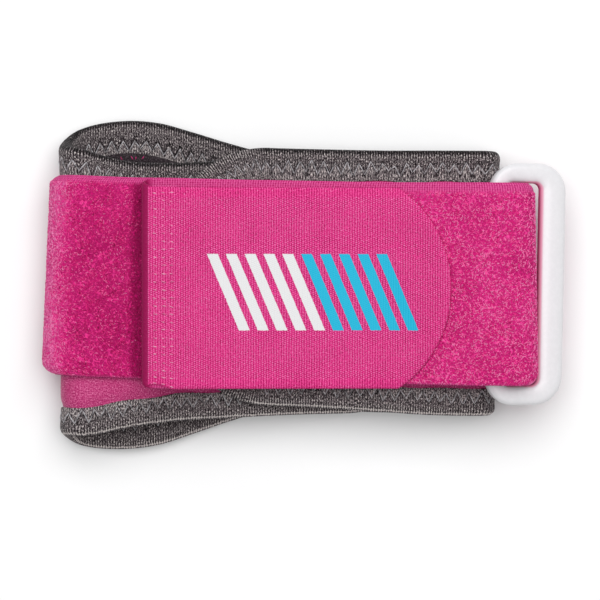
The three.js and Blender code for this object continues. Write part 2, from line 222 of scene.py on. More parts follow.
bar_height = leg_height(bar_x) + loop_radius
crest_x, crest_z = bar_x - loop_radius, bar_height + loop_radius
ramp_x = bar_x - RAMP
strap_left, strap_right = strap_mid - LEFT_STANDOFF, BAND_LONG + RIGHT_STANDOFF - strap_mid
fold_x = tongue_tip - FOLD_OVERHANG + strap_mid
leaf_end = fold_x - strap_mid + LEAF
easy = 4 * STRAP_THICK


def top_height(x):
    """The top pass lies on the tongue's strap, and climbs in a straight ramp to the ring."""
    share = np.clip((x - ramp_x) / (crest_x - ramp_x), 0, 1)
    low = leg_height(min(x, ramp_x))
    return strap_pitch + low + share * (crest_z - leg_height(ramp_x))


def leaf_height(x):
    share = (x - fold_x) / (leaf_end - fold_x)
    return top_height(x) + FOLD_HIGH + share * (strap_pitch + GAP - FOLD_HIGH)


def outer_leg(x):
    return underlap_height(x) + strap_rise


step_x = tongue_tip - 1.7 * 3 * BINDING_HALF
left_radius = FOLD_SHARE * (outer_leg(strap_left) - strap_mid)
strap_route = Route([
    (bar_x - RING_LEG, leg_height(bar_x - RING_LEG)),
    (bar_x + loop_radius, leg_height(bar_x + loop_radius), 2 * FOLD_SHARE * loop_radius),
    (bar_x + loop_radius, crest_z, 2 * FOLD_SHARE * loop_radius),
    (crest_x, crest_z, easy),
    (ramp_x, leg_height(ramp_x), 2 * easy),
    (tongue_tip + GAP, leg_height(tongue_tip), easy),
    (step_x, outer_leg(step_x), easy),
    (strap_left, outer_leg(strap_left), left_radius),
    (strap_left, strap_mid, left_radius),
    (strap_right, strap_mid, 0.3 * top_height(crest_x)),
    (strap_right, crest_z + strap_pitch, 0.2 * top_height(crest_x)),
    (crest_x, crest_z + strap_pitch, easy),
    (ramp_x, leg_height(ramp_x) + strap_pitch, 2 * easy),
    (fold_x, top_height(fold_x), FOLD_SHARE * FOLD_HIGH),
    (fold_x, leaf_height(fold_x), FOLD_SHARE * FOLD_HIGH),
    (leaf_end, leaf_height(leaf_end)),
])
STRAP_DRIFT = [(0, 0.003), (0.08, 0.003), (0.31, 0.036), (0.38, 0.053), (0.66, 0.003),
               (0.76, 0.003), (0.96, 0.022), (1, 0.018)]
STRAP_SKEW = [(0, 0), (0.27, 0), (0.36, 0.045), (0.45, 0), (1, 0)]

tab_start = fold_x - strap_mid + TAB_INSET
tab_tip = tab_start + TAB_LONG
landing = leaf_end + 2 * (FOLD_HIGH + STRAP_THICK)
tab_route = Route([
    (tab_start, leaf_height(fold_x) + tab_rise),
    (leaf_end, leaf_height(leaf_end) + tab_rise, 3 * TAB_THICK),
    (landing, top_height(landing) + tab_rise, 3 * TAB_THICK),
    (ramp_x, top_height(ramp_x) + tab_rise, 24 * TAB_THICK),
    (tab_tip, top_height(tab_tip) + tab_rise),
])
TAB_DRIFT = [(0, -0.0165), (1, -0.0165)]
print("strap length:", round(strap_route.length, 1), "mm")

# %% [markdown]
# `bend` turns flat cloth into its place. A point on flat cloth has a length s, a distance t
# across and a height n out of its outer face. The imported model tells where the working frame
# starts: its left fold is the band's lowest X, and its middle is the middle of the ring.

# %% From flat cloth to its place
MM = 0.001
ring_low, ring_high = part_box("plastic_ring")
start_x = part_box("neoprene_band")[0].x / MM
start_y = (ring_low.y + ring_high.y) / 2 / MM - STRAP_DRIFT[0][1] * STRAP_WIDE


def bend(route, drift, width, s, t, n, skew=((0, 0), (1, 0))):
    """The route's place at s, moved n along its normal, t across plus the drift, and t times the
    skew along X. Everything is in millimetres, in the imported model's frame."""
    s, t, n = np.broadcast_arrays(np.asarray(s, float), t, n)
    x, z, way = route.at(s)
    share = s / route.length
    return np.stack([
        start_x + x + n * np.sin(way) + t * through(skew, share),
        start_y + t + width * through(drift, share),
        z - n * np.cos(way),
    ], axis=-1)


def on_band(s, t, n):
    return bend(band_route, BAND_DRIFT, 2 * BAND_HALF, s, t, n, BAND_SKEW)


def on_tab(s, t, n):
    return bend(tab_route, TAB_DRIFT, STRAP_WIDE + 2 * TAB_OVER, s, t, n)


# %% [markdown]
# The real strap's corners curl in where it folds, so its folds look rounded from above. The
# curl pulls the outermost few millimetres in along X, by the sagitta of a small circle.

# %% The strap's place, with its corners curled in at the folds
CURL_ABOVE, CURL_BELOW = 2.2, 3.6
LEFT_IN, RIGHT_OUT = 0.8, 0.5  # how far each whole fold moves in or out along X
LEAF_DOWN = 1.5  # how far the small leaf has slipped across the strap
FOLD_LEFT = [(0, 0), (0.29, 0), (0.335, 0.55), (0.36, 0.75), (0.385, 0.55), (0.43, 0), (1, 0)]
FOLD_RIGHT = [(0, 0), (0.6, 0), (0.655, 0.6), (0.69, 1), (0.725, 0.45), (0.745, 0), (1, 0)]


def on_strap(s, t, n):
    """bend(), and then a pull of r - sqrt(r2 - d2) along X, where d is how far a point lies
    inside the last r millimetres of the strap's half width."""
    place = bend(strap_route, STRAP_DRIFT, STRAP_WIDE, s, t, n, STRAP_SKEW)
    share = np.broadcast_to(s, place.shape[:-1]) / strap_route.length
    radius = np.where(np.asarray(t) > 0, CURL_ABOVE, CURL_BELOW)
    deep = np.clip(np.abs(t) - (STRAP_WIDE / 2 - radius), 0, 0.96 * radius)
    pull = radius - np.sqrt(radius**2 - deep**2)
    place[..., 0] += (pull + LEFT_IN) * through(FOLD_LEFT, share)
    place[..., 0] -= (pull - RIGHT_OUT) * through(FOLD_RIGHT, share)
    place[..., 1] -= LEAF_DOWN * ease(s, strap_route.rows[25][0], strap_route.rows[28][0])
    return place


# %% [markdown]
# ## Meshes from grids
# Each strip is a grid of points: rows along it, columns round its section. The same helper joins
# the grid with four-sided faces, closes it where it should be closed, and writes a UV map in
# metres, so that a weave keeps its scale on every piece.


# %% Grid to mesh
def grid_piece(name, points, along, around, loop=False, caps=True):
    """A closed skin over points[row, column]. Columns always close into a ring. Rows close when
    loop is true, and otherwise caps join column j to its mirror on the two end rows. along and
    around are the UV lengths in millimetres, with one more entry wherever the grid closes;
    around may differ from row to row."""
    rows, columns = points.shape[:2]
    i, j = np.meshgrid(np.arange(rows if loop else rows - 1), np.arange(columns), indexing="ij")
    after, beside = (i + 1) % rows, (j + 1) % columns
    faces = np.stack([i * columns + j, after * columns + j, after * columns + beside,
                      i * columns + beside], -1).reshape(-1, 4)
    along = np.asarray(along, float)
    around = np.broadcast_to(around, (len(along), columns + 1))
    u = np.stack([along[i], along[i + 1], along[i + 1], along[i]], -1)
    v = np.stack([around[i, j], around[i + 1, j], around[i + 1, j + 1], around[i, j + 1]], -1)
    uv = np.stack([u, v], -1).reshape(-1, 2)
    if caps and not loop:
        k = np.arange(columns // 2 - 1)
        end = np.stack([k, k + 1, columns - 2 - k, columns - 1 - k], -1)
        last = (rows - 1) * columns + end[:, ::-1]
        faces = np.concatenate([faces, end, last])
        uv = np.concatenate([uv, np.zeros((8 * len(k), 2))])
    return mesh_piece(name, points.reshape(-1, 3), faces, uv)


def mesh_piece(name, points, faces, uv=None):
    """Puts arrays of points in millimetres and of faces with equal corner counts into a mesh.
    The skin is turned if its signed volume, a sum of triple products, is below zero."""
    sides = faces.shape[1]
    corners = points[faces]
    turned = np.cross(corners[:, 1] - corners[:, 0], corners[:, 2] - corners[:, 0])
    turned += np.cross(corners[:, 2] - corners[:, 0], corners[:, -1] - corners[:, 0])
    if (corners.mean(1) * turned).sum() < 0:
        faces = faces[:, ::-1]
        uv = None if uv is None else uv.reshape(-1, sides, 2)[:, ::-1].reshape(-1, 2)
    mesh = bpy.data.meshes.new(name)
    mesh.vertices.add(len(points))
    mesh.vertices.foreach_set("co", (points * MM).ravel())
    mesh.loops.add(faces.size)
    mesh.loops.foreach_set("vertex_index", faces.ravel())
    mesh.polygons.add(len(faces))
    mesh.polygons.foreach_set("loop_start", np.arange(0, faces.size, sides))
    mesh.polygons.foreach_set("use_smooth", np.ones(len(faces), bool))
    mesh.update(calc_edges=True)
    if uv is not None:
        layer = mesh.uv_layers.new(name="cloth")
        layer.data.foreach_set("uv", (uv * MM).ravel())
    mesh.validate()
    piece = bpy.data.objects.new(name, mesh)
    bpy.context.scene.collection.objects.link(piece)
    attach(piece, "root")
    print(name, len(faces), "faces")
    return piece


def ripple(a, b, size, seed):
    """A smooth random height between about -1 and 1: twelve sine waves in random directions,
    with wavelengths from size to twice size."""
    dice = np.random.default_rng(seed)
    total = 0
    for turn, wave, phase in dice.random((12, 3)):
        way, length = 2 * np.pi * turn, size * (1 + wave)
        total = total + np.sin(2 * np.pi * ((a * np.cos(way) + b * np.sin(way)) / length + phase))
    return total / 4


# %% [markdown]
# ## Foam band
# The real band is foam between two cloths: pink jersey outside, dark lining inside. It could
# be one surface with a Solidify modifier, but the binding squeezes its edge flat, so both faces
# are worked out here and the thickness is a function of the distance from the edge.


# %% Foam band
PRESSED = [(0, 0), (0.1, 0), (0.3, 0.2), (0.45, 0.5), (0.58, 0.6), (0.67, 0.95), (0.77, 0.95),
           (0.83, 0.4), (0.9, 0), (1, 0)]


def pad_bow(s):
    return through(PAD_BOW, (s - pad_middle) / PAD_REACH)


def fuller(s):
    """The pad's bow, and a little more where the band is pressed flat at its right fold."""
    return PAD_WIDER * pad_bow(s) + through(PRESSED, s / band_route.length)


def slant(s):
    """How much longer a step straight across is than a step at right angles to the edge."""
    return np.hypot(1, (fuller(s + 0.01) - fuller(s - 0.01)) / 0.02)


def band_half_width(s, inset=0.0):
    """Plain half width plus the pad's bow, less the inset. The last stretch at each end is a
    quarter circle at each side: half - r + sqrt((r - inset)2 - (r - distance to the end)2)."""
    from_end = np.minimum(s, band_route.length - s)
    side = BAND_HALF + fuller(s) - inset * slant(s)
    dip = END_RADIUS - np.minimum(from_end, END_RADIUS)
    end = np.sqrt(np.maximum(0, (END_RADIUS - inset) ** 2 - dip**2))
    return np.where(from_end < END_RADIUS, BAND_HALF - END_RADIUS + end, side)


def inset_at(s, t):
    """Distance of a point on the flat band from its edge, round the corners of its ends too."""
    dip = END_RADIUS - np.minimum(np.minimum(s, band_route.length - s), END_RADIUS)
    over = np.maximum(0, np.abs(t) - (BAND_HALF - END_RADIUS))
    side = (band_half_width(s) - np.abs(t)) / slant(s)
    return np.where(dip > 0, END_RADIUS - np.hypot(dip, over), side)


EDGE_IN = 1.6
turn = np.linspace(0, np.pi / 2, 34)[:-1]
tip = END_RADIUS - (END_RADIUS - EDGE_IN) * np.cos(turn)
plain = band_route.stations(1.2)
plain = plain[(plain > END_RADIUS) & (plain < band_route.length - END_RADIUS)]
band_s = np.concatenate([tip, plain, band_route.length - tip[::-1]])
share = np.array([0, .01, .03, .06, .1, .14, .17, .19, .205, .22, .235, .25, .27, .3, .34, .4,
                  .47, .56, .67, .78, .89, 1])
share = np.concatenate([1 - share, share[-2::-1] - 1])
s = band_s[:, None]
t = band_half_width(s, EDGE_IN) * share
inset = inset_at(s, t)
swell = 0.7 * ease(inset, 5.9, 9.3) + 0.16 * np.exp(-(((inset - 10.5) / 3) ** 2))
face = 0.8 + swell + 0.07 * ripple(s, t, 14, 3) * ease(inset, 6, 12)
points = np.concatenate([on_band(s, t, face), on_band(s, t, -face)[:, ::-1]], axis=1)
middle = t[len(t) // 2]
across = np.concatenate([middle, middle[::-1] + FAR_FACE, [middle[0] + 2 * FAR_FACE]])
foam = grid_piece("foam_band", points, band_s, across)

# %% [markdown]
# ## Edge binding
# A knitted tape is folded round the band's edge and sewn down with a zigzag. Its section is a
# rounded U, carried once round the band's flat outline, rounded ends included. The zigzag
# pulls the tape down, so the tape swells between the stitches.

# %% Outline of the band, once round
STITCH = 2.9  # length of one zigzag
ZIG_LOW, ZIG_HIGH = 3.2, 6.1  # how far in from the edge the zigzag runs
INSIDE = 1.7  # how much further in everything sits on the lining's side
STEP = 0.5


def outline():
    """Rows of s, t, outward step along s and outward step along t, round the band's outline."""
    long = band_route.length
    side = band_route.stations(STEP)
    side = side[(side > END_RADIUS + 0.2) & (side < long - END_RADIUS - 0.2)]
    zero, longer = np.zeros_like(side), slant(side)
    half = band_half_width(side)
    angle = np.linspace(np.pi / 2, 0, 79)
    inner = BAND_HALF - END_RADIUS

    def corner(middle_s, middle_t, start):
        way = start - np.pi / 2 + angle
        return np.stack([middle_s + END_RADIUS * np.cos(way), middle_t + END_RADIUS * np.sin(way),
                         np.cos(way), np.sin(way)])

    return np.concatenate([
        np.stack([side, half, zero, longer]),
        corner(long - END_RADIUS, inner, np.pi / 2),
        corner(long - END_RADIUS, -inner, 0),
        np.stack([side, -half, zero, -longer])[:, ::-1],
        corner(END_RADIUS, -inner, -np.pi / 2),
        corner(END_RADIUS, inner, -np.pi),
    ], axis=1)


edge = outline()
gap = np.hypot(*(np.roll(edge[:2], -1, axis=1) - edge[:2]))
edge_length = np.concatenate([[0], np.cumsum(gap)])
round_long = edge_length[-1]
upper_side = edge_length[np.argmax(edge[2] != 0)] * MM
facing_down = np.flatnonzero(edge[3] < -0.95)
lower_side = edge_length[facing_down[[0, -1]]] * MM
stitch = round_long / round(round_long / STITCH)
print("edge length:", round(round_long), "mm,", round(round_long / stitch), "zigzags")

# %% Edge binding
top = np.array([
    (6.62, 1.2), (6.72, 1.38), (6.66, 1.52), (6.4, 1.6), (6.0, 1.63), (5.5, 1.64), (5.0, 1.65),
    (4.4, 1.66), (3.8, 1.69), (3.2, 1.74), (2.6, 1.79), (2.1, 1.81), (1.7, 1.79), (1.3, 1.7),
    (0.9, 1.53), (0.55, 1.27), (0.28, 0.95), (0.1, 0.58), (0.02, 0.22),
])
slot = np.array([(6.5, 1.12), (4.8, 1.1), (3.0, 1.1), (1.4, 1.05), (1.2, 0.5)])
ring_in = np.concatenate([top[:, 0], top[::-1, 0], slot[:, 0], slot[::-1, 0]])
ring_n = np.concatenate([top[:, 1], -top[::-1, 1], -slot[:, 1], slot[::-1, 1]])
length = edge_length[:-1, None]
phase = np.pi * length / (stitch / 2)
held = ease(ring_in, 2.3, 3.6) * (np.abs(ring_n) > 1.15)
pucker = 0.13 * np.abs(np.cos(phase)) ** 1.5 * held
swell = 0.05 * ripple(length, ring_in * 2, 9, 5) * (np.abs(ring_n) > 1.15)
n = ring_n + np.sign(ring_n) * (swell - pucker)
wander = 0.22 * ripple(length, 0, 11, 8) * ease(ring_in, 5.5, 6.5)
inner_side = INSIDE * ease(ring_in, 1.8, 4.2) * (ring_n < 0)
on_upper = 1 - ease(length, upper_side / MM + 6, upper_side / MM + 18)
upper_side_wide = 1.2 * ease(ring_in, 4.2, 6.2) * (ring_n > 1.3) * on_upper
scallop = 0.06 * np.cos(2 * phase) * ease(ring_in, 6.0, 6.6)
into = ring_in + inner_side + upper_side_wide + wander + scallop
s, t, out_s, out_t = (edge[i][:, None] for i in range(4))
points = on_band(s - out_s * into, t - out_t * into, n)
below = top[::-1, 0] + INSIDE * ease(top[::-1, 0], 1.8, 4.2)
around = np.concatenate([top[:, 0], -below, -10 - slot[:, 0], -10 - slot[::-1, 0], [-20]])
binding = grid_piece("edge_binding_tape", points, edge_length, around, loop=True)

# %% [markdown]
# ## Zigzag seams
# The seam shows on both sides of the band. A thread is a tube: a small ring of points carried
# along a path. Here the path is worked out on flat cloth, as a zigzag between two lines, and
# the tube's ring is added before bending, so one call places every point.


# %% Thread along a path on flat cloth
def thread(path, radius, sides=5):
    """Rings of points round a closed or open path on flat cloth. path holds s, t and n. Each
    ring stands at right angles to the path: one axis lies in the cloth, the other points out."""
    way = np.gradient(path, axis=0)
    way /= np.linalg.norm(way, axis=1, keepdims=True)
    beside = np.cross(way, [0, 0, 1])
    beside /= np.linalg.norm(beside, axis=1, keepdims=True)
    above = np.cross(beside, way)
    angle = 2 * np.pi * np.arange(sides) / sides
    turn = np.cos(angle)[:, None] * beside[:, None] + np.sin(angle)[:, None] * above[:, None]
    return path[:, None] + np.reshape(radius, (-1, 1, 1)) * turn


def zigzag(name, face):
    """A thread that swings between two lines beside the edge. It dips into the tape where it
    turns and rises by a sine between."""
    count = 2 * round(round_long / stitch)
    length = np.arange(count * 6) * stitch / 12
    swing = 1 - np.abs((length / stitch * 2) % 2 - 1)
    corner = np.random.default_rng(50).normal(0, 0.13, count)
    uneven = np.interp(length, np.arange(count + 1) * stitch / 2, np.append(corner, corner[0]))
    into = ZIG_LOW + (ZIG_HIGH - ZIG_LOW) * (0.94 * swing + uneven)
    base = np.interp(into, top[::-1, 0], top[::-1, 1]) - 0.02
    into = into + INSIDE * (face < 0)
    dip = 0.2 * np.abs(np.cos(np.pi * length / (stitch / 2)))
    row = [np.interp(length, edge_length, np.append(e, e[0])) for e in edge]
    flat = np.stack([row[0] - row[2] * into, row[1] - row[3] * into,
                     face * (base + 0.07 - dip)], -1)
    rings = thread(flat, np.full(len(flat), 0.15))
    points = on_band(rings[..., 0], rings[..., 1], rings[..., 2])
    along = np.arange(len(flat) + 1) * stitch / 12
    return grid_piece(name, points, along, np.linspace(0, 1, 6), loop=True)


seam_outside = zigzag("seam_outside", 1)
seam_inside = zigzag("seam_inside", -1)

# %% [markdown]
# ## Pile strap
# The strap is woven, with a plain selvedge at each side and looped pile between. The ground is
# one closed ribbon, thinner at the selvedges, and the pile's unevenness is a ripple on it.


# %% Pile strap
SELVEDGE_BELOW, SELVEDGE_ABOVE, SELVEDGE_TOP = 0.3, 1.5, 2.4
GROUND_ABOVE, GROUND_BELOW, PILE_HIGH = 0.12, 0.72, 0.2  # heights from the strap's middle


def strap_face(s, t):
    """Height of the pile side: woven ground at the selvedge, and pile that rises from it. On the
    top pass the upper selvedge is the wide one."""
    wide = np.where(t > 0, np.where(s > strap_route.rows[18][0], SELVEDGE_TOP, SELVEDGE_ABOVE),
                    SELVEDGE_BELOW)
    pile = ease(STRAP_WIDE / 2 - np.abs(t), wide - 0.6, wide + 0.6)
    rough = 0.06 * ripple(s, t, 1.3, 11) + 0.06 * ripple(s, t, 5, 12)
    return GROUND_ABOVE + pile * (PILE_HIGH + rough)


strap_s = strap_route.stations(0.8, np.radians(9))
half = STRAP_WIDE / 2
t = half * np.concatenate([[1, 0.994, 0.98, 0.96, 0.94, 0.92, 0.905, 0.89],
                           np.linspace(0.87, -0.87, 49),
                           [-0.89, -0.905, -0.92, -0.94, -0.96, -0.98, -0.994, -1]])
s = strap_s[:, None]
round_edge = np.sqrt(np.clip(1 - np.clip(1 - (half - np.abs(t)) / 0.4, 0, 1) ** 2, 0.05, 1))
upper = strap_face(s, t) * round_edge
lower = np.broadcast_to(-GROUND_BELOW * round_edge, upper.shape)
points = np.concatenate([on_strap(s, t, upper), on_strap(s, t, lower)[:, ::-1]], axis=1)
across = np.concatenate([t, t[::-1] + FAR_FACE, [t[0] + 2 * FAR_FACE]])
strap = grid_piece("strap_ground", points, strap_s, across)

# %% [markdown]
# The pile itself is thousands of tiny thread loops. Particle hair would not export, and one
# object for each loop would be slow, so all loops of one stretch are one mesh. Every loop is an
# arch of four rings with three points each, worked out together as one array.


# %% Loops of the pile
LOOP_REACH, LOOP_TALL, LOOP_BOW = (0.26, 0.54), (0.13, 0.26), 0.4
LOOP_ROOT, YARN_RADIUS = 0.22, 0.1


def pile_loops(name, stretches, each, seed, above=SELVEDGE_ABOVE, light=0.5):
    """Arches on the strap's pile side. Along its own way u, from -1 to 1, an arch is at
    u times its reach and rises by its height times 1 - u2. Its way and lean are random."""
    dice = np.random.default_rng(seed)
    low, high = np.array(stretches, float).T
    count = (each * (high - low) * (STRAP_WIDE - SELVEDGE_BELOW - above)).astype(int)
    s = np.concatenate([dice.uniform(a, b, c) for a, b, c in zip(low, high, count)])
    t = dice.uniform(SELVEDGE_BELOW - STRAP_WIDE / 2, STRAP_WIDE / 2 - above, len(s))
    way = dice.uniform(0, 2 * np.pi, len(s))
    reach, tall = dice.uniform(*LOOP_REACH, len(s)), dice.uniform(*LOOP_TALL, len(s))
    bow = dice.uniform(-LOOP_BOW, LOOP_BOW, len(s))
    u = np.array([-1, -0.4, 0.4, 1])
    forth = reach[:, None] * u
    side = bow[:, None] * (1 - u**2)
    ways = np.stack([np.cos(way), np.sin(way)], -1)[:, None]
    flat = np.stack([s[:, None] + forth * ways[..., 0] - side * ways[..., 1],
                     t[:, None] + forth * ways[..., 1] + side * ways[..., 0]], -1)
    rise = LOOP_ROOT + tall[:, None] * (1 - u**2) - 0.15 * u**4
    angle = 2 * np.pi * np.arange(3) / 3 + np.pi / 2
    beside = YARN_RADIUS * np.cos(angle)
    points_s = flat[..., 0, None] - beside * ways[..., 1, None]
    points_t = flat[..., 1, None] + beside * ways[..., 0, None]
    points = on_strap(points_s, points_t, rise[..., None] + YARN_RADIUS * np.sin(angle))
    loops = len(s)
    first = (np.arange(loops) * 12)[:, None, None]
    i, j = np.arange(3)[:, None] * 3, np.arange(3)[None]
    quads = np.stack([i + j, i + 3 + j, i + 3 + (j + 1) % 3, i + (j + 1) % 3], -1).reshape(-1, 4)
    tris = np.concatenate([quads[:, [0, 1, 2]], quads[:, [0, 2, 3]], [[0, 1, 2], [11, 10, 9]]])
    faces = (first + tris).reshape(-1, 3)
    # Loops near both folds are painted lighter: a painted sheen where the pile rolls over the fold.
    fold_sheen = np.exp(-(((s - LEFT_FOLD_SHEEN) / 5) ** 2)) + np.exp(-(((s - RIGHT_FOLD_SHEEN) / 4) ** 2))
    tone = dice.normal(light, 0.27, loops) + 0.55 * fold_sheen
    # Loops in the valley beside the leaf's fold are painted darker: a painted shade under the fold's
    # overhang.
    tone -= 0.5 * np.exp(-(((s - VALLEY) / 1.7) ** 2))
    uv = np.broadcast_to(np.stack([np.repeat(np.abs(u), 3)[None].repeat(loops, 0),
                                   tone[:, None].repeat(12, 1)], -1), (loops, 12, 2))
    return mesh_piece(name, points.reshape(-1, 3), faces, uv.reshape(-1, 2)[faces].reshape(-1, 2))


def length_at(corner):
    """Length along the strap at which its route's run number corner starts."""
    return strap_route.rows[corner][0]


left_fold, right_fold = length_at(13), length_at(17)
# Where the painted sheen of each fold lies along the strap.
LEFT_FOLD_SHEEN, RIGHT_FOLD_SHEEN = left_fold + 8, right_fold + 13
# Where the painted shade of the valley beside the leaf's fold lies.
VALLEY = left_fold - 15.6
top_run, leaf_fold = length_at(20), (length_at(25) + length_at(28)) / 2
print("strap runs start at", [round(row[0]) for row in strap_route.rows])

# %% [markdown]
# ## Hook tab
# The tab is a woven tape with a round tip and hooks on its underside. It is sewn to the folded
# strap with short rows of stitches, which draw its corner in a little.


# %% Hook tab
TAB_SUNK, TAB_HEM, TAB_START = 0.5, 0.26, 0.5  # how deep the tape lies, and more at its edges
TAB_ABOVE, TAB_BELOW = 0.55, 0.35


def tab_half_width(s):
    """Half the width, and near the tip sqrt(r2 - (s - middle)2) of the tip's circle."""
    middle = tab_route.length - TAB_TIP
    arc = np.sqrt(np.maximum(0, TAB_TIP**2 - (s - middle) ** 2))
    plain_half = STRAP_WIDE / 2 + TAB_OVER
    return np.where(s < middle, plain_half, np.minimum(plain_half, arc))


def draw_in(s, t):
    """How far the stitches pull the tab's lower corner towards its middle."""
    return 1.1 * (1 - ease(s, 2.2, 6.2)) * ease(-t, 20, 25)


tab_middle = tab_route.length - TAB_TIP
tip_angle = np.linspace(np.arcsin((STRAP_WIDE / 2 + TAB_OVER) / TAB_TIP), 0.015, 60)
tip_s = tab_middle + TAB_TIP * np.cos(tip_angle)
plain = tab_route.stations(0.8)
tab_s = np.concatenate([[0, 0.08, 0.25, 0.5], plain[(plain > 0.6) & (plain < tip_s[0])], tip_s])
share = np.concatenate([[1, 0.997, 0.99, 0.98], np.linspace(0.965, -0.965, 61),
                        [-0.98, -0.99, -0.997, -1]])
s = tab_s[:, None]
t = tab_half_width(s) * share
drawn_in = draw_in(s, t)
from_centre = np.hypot(np.maximum(0, s - tab_middle), t * (s > tab_middle))
from_edge = np.minimum(np.minimum(tab_half_width(s) - np.abs(t), s + 0.02),
                       TAB_TIP - from_centre + 0.02)
thin = np.sqrt(np.clip(1 - np.clip(1 - from_edge / 0.45, 0, 1) ** 2, 0.08, 1))
sunk = TAB_SUNK + TAB_HEM * (1 - ease(from_edge, 0, 1.4)) + TAB_START * (1 - ease(s, 0, 5))
wave = 0.12 * ripple(s, t, 22, 21) * ease(from_edge, 0, 4)
upper = sunk - TAB_ABOVE * thin - wave
lower = sunk + TAB_BELOW * thin - wave
points = np.concatenate([on_tab(s, t + drawn_in, upper),
                         on_tab(s, t + drawn_in, lower)[:, ::-1]], 1)
across = np.concatenate([t, t[:, ::-1] + FAR_FACE, t[:, :1] + 2 * FAR_FACE], 1)
tab = grid_piece("hook_tape", points, tab_s, across)

# %% [markdown]
# ## Ring
# The ring is moulded, so its section is a soft rectangle. Its outer and inner outlines have
# different corner circles. Both are walked with the same number of points, and the section
# spans from one to the other.


# %% Ring
HOLE_NARROWER, HOLE_SHORTER, HOLE_ROUND, HOLE_ASIDE = 0.95, 0.45, 1.6, 1.2
INNER_POWER, OUTER_POWER = 2.7, 3.4  # of the section's rounded rectangle, inside and outside
SECTION_LONG = 12  # length of the UV map round the section


def rounded_rectangle(half_x, half_y, radius, count=22):
    """Four quarter circles round the corners of a smaller rectangle, joined by straight sides.
    Each side is cut into count pieces, so two such outlines pair up point by point."""
    quarter = np.linspace(0, np.pi / 2, count + 1)
    rows = []
    for k, (sx, sy) in enumerate([(1, 1), (-1, 1), (-1, -1), (1, -1)]):
        angle = quarter + k * np.pi / 2
        arc = np.stack([sx * (half_x - radius) + radius * np.cos(angle),
                        sy * (half_y - radius) + radius * np.sin(angle)], -1)
        rows.append(arc)
    joined = []
    for arc, following in zip(rows, rows[1:] + rows[:1]):
        p = np.linspace(0, 1, count + 1)[1:-1, None]
        joined += [arc, arc[-1] * (1 - p) + following[0] * p]
    return np.concatenate(joined)


inner_half = STRAP_WIDE / 2 + RING_SIDE
outer = rounded_rectangle(RING_WIDE / 2, inner_half + RING_BAR, RING_OUTER)
inner = rounded_rectangle(RING_WIDE / 2 - RING_BAR - HOLE_NARROWER, inner_half - HOLE_SHORTER,
                          HOLE_ROUND) - [HOLE_ASIDE, 0]
angle = 2 * np.pi * np.arange(36) / 36
power = 2 / np.where(np.cos(angle) < 0, INNER_POWER, OUTER_POWER)
across_bar = np.sign(np.cos(angle)) * np.abs(np.cos(angle)) ** power / 2
up = np.sign(np.sin(angle)) * np.abs(np.sin(angle)) ** power * RING_THICK / 2
flat = (outer + inner)[:, None] / 2 + (outer - inner)[:, None] * across_bar[:, None]
reach = (RING_WIDE - RING_BAR) / 2
ring_x, ring_z = flat[..., 0], np.broadcast_to(up, flat.shape[:2])
points = np.stack([
    start_x + bar_x + (reach + ring_x) * np.cos(RING_TILT) + ring_z * np.sin(RING_TILT)
    + flat[..., 1] * np.sin(RING_TURN),
    start_y + STRAP_DRIFT[0][1] * STRAP_WIDE + flat[..., 1],
    bar_height - (reach + ring_x) * np.sin(RING_TILT) + ring_z * np.cos(RING_TILT),
], -1)
walked = np.concatenate([[0], np.cumsum(np.hypot(*(np.roll(outer, -1, 0) - outer).T))])
ring = grid_piece("ring_moulding", points, walked, np.linspace(0, SECTION_LONG, 37), loop=True)

# %% [markdown]
# ## Small stitches
# Three short columns of stitches hold the tab to the leaf. A few pink thread ends show on the
# lining at the upper left. Each stitch is a short thread that dips at both ends.


# %% Small stitches
def stitches(name, place, start, finish, radius, lift):
    """Threads from start to finish points on flat cloth, arched by lift. Each has six rings of
    six points, and narrows to a tip at both ends."""
    u = np.linspace(0, 1, 6)[:, None]
    angle = 2 * np.pi * np.arange(6) / 6
    rings = []
    for a, b in zip(np.asarray(start, float), np.asarray(finish, float)):
        path = a * (1 - u) + b * u + np.array([0, 0, 1.0]) * lift * (4 * u * (1 - u))
        width = radius * np.sqrt(np.clip(1 - (2 * u[:, 0] - 1) ** 2, 0.04, 1))
        rings.append(thread(path, width, 6))
    rings = np.array(rings)
    count = len(rings)
    k = np.arange(5)[:, None] * 6
    j = np.arange(6)[None]
    quads = np.stack([k + j, k + 6 + j, k + 6 + (j + 1) % 6, k + (j + 1) % 6], -1).reshape(-1, 4)
    ends = np.array([[0, 1, 2, 3], [3, 4, 5, 0], [33, 32, 31, 30], [30, 35, 34, 33]])
    faces = (np.arange(count)[:, None, None] * 36 + np.concatenate([quads, ends])).reshape(-1, 4)
    points = place(rings[..., 0], rings[..., 1], rings[..., 2])
    return mesh_piece(name, points.reshape(-1, 3), faces)


dice = np.random.default_rng(40)
columns, rows = np.meshgrid([1.7, 3.75, 5.7], np.arange(-24.0, 23.6, 1.96))
columns = columns.ravel() + dice.normal(0, 0.06, columns.size)
rows = rows.ravel() + dice.normal(0, 0.07, rows.size)
face = TAB_SUNK + TAB_START * (1 - ease(columns, 0, 5)) - 0.52 + 0.08 * ease(rows, -9, 9)
face = face + 0.3 * (1 - ease(STRAP_WIDE / 2 + TAB_OVER - np.abs(rows), 0, 1.6))
rows = rows + draw_in(columns, rows)
start = np.stack([columns - 0.55, rows + 0.12, face], -1)
finish = np.stack([columns + 0.55, rows - 0.12 + dice.normal(0, 0.08, rows.size), face], -1)
tab_stitches = stitches("tab_stitches", on_tab, start, finish, radius=0.17, lift=-0.14)

tick_s = pad_middle + np.array([1.0, 3.7, 4.3, 5.8])
TICK_ACROSS, TICK_HEIGHT = 31.2, -1.62
start = np.stack([tick_s, np.full(4, TICK_ACROSS), np.full(4, TICK_HEIGHT)], -1)
finish = start + [[-0.5, 0.9, 0], [-0.6, 1.0, 0], [0.1, 0.8, 0], [0.6, 0.8, 0]]
lining_threads = stitches("lining_threads", on_band, start, finish, radius=0.13, lift=-0.1)

